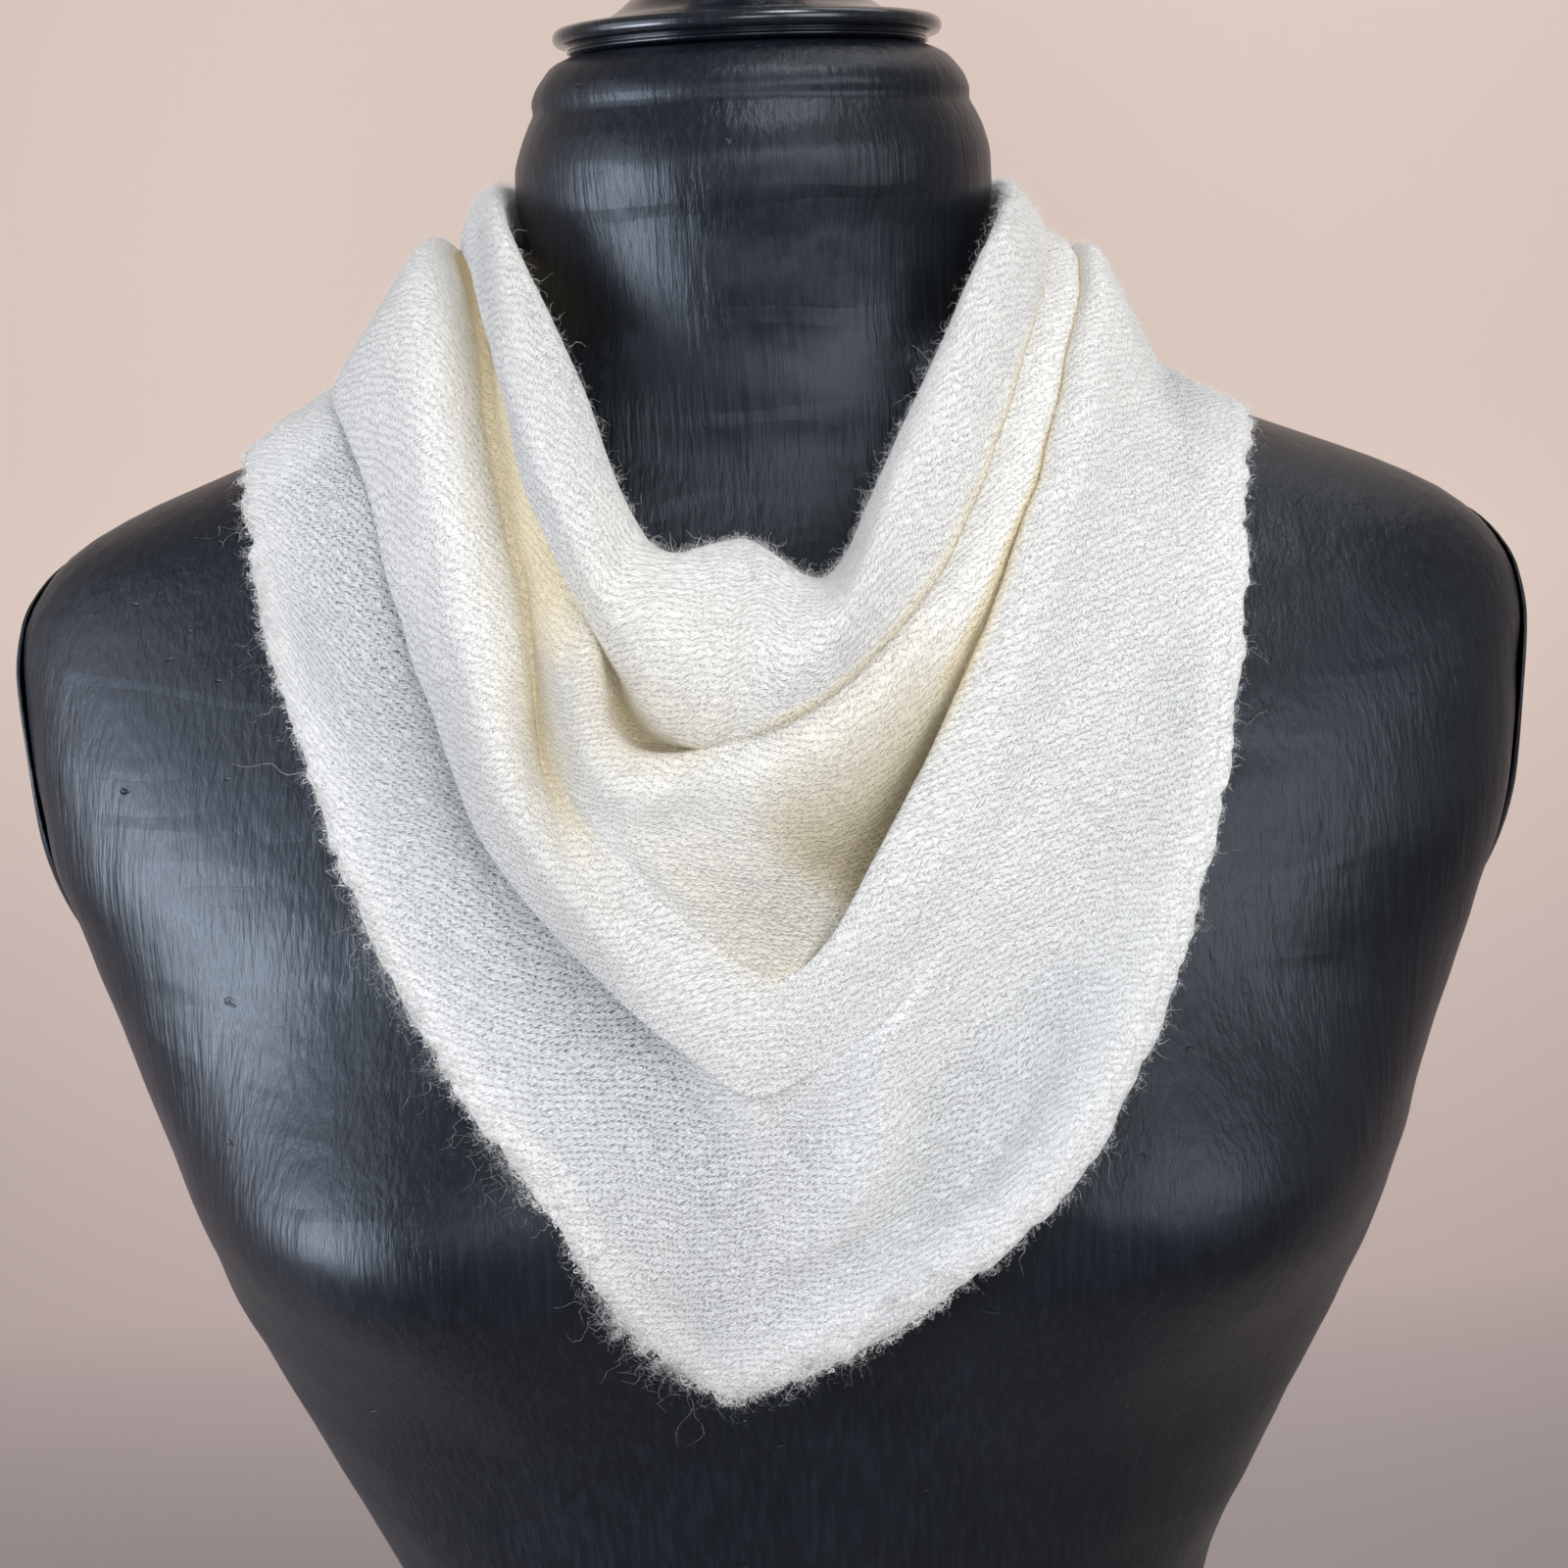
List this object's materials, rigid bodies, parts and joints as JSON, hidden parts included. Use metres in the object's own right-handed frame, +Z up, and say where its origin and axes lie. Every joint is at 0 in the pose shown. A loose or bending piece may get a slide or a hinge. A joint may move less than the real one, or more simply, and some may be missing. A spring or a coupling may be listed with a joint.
{
  "type": "triangle scarf worn as a cowl on a limbless dress form",
  "caption": "Brushed-knit triangle scarf draped as a slouched cowl with a pointed front and tied at the nape, on a limbless painted dress form.",
  "frame": {"origin": "middle of the dress form's flat base, on the surface it stands on, under the neck axis", "axes": "+Z up along the neck axis, -Y the way the form's front faces, +X to the right as seen from the front"},
  "size_m": [0.3894, 0.2367, 0.72],
  "materials": {
    "knit": "cream-white brushed stocking stitch with a soft mohair-like nap",
    "painted_paper": "black hand-painted papier-mache, satin, with brush ridges",
    "gloss_paint": "turned wood painted gloss black"
  },
  "bodies": {
    "root": {"cowl_roll": "knit", "second_fold": "knit", "third_fold": "knit", "front_panel": "knit", "nape_knot": "knit", "tie_end_left": "knit", "tie_end_right": "knit", "torso": "painted_paper", "armhole_plate_left": "painted_paper", "armhole_plate_right": "painted_paper", "neck_cap": "painted_paper", "flange": "gloss_paint", "finial": "gloss_paint"}
  },
  "joints": []
}
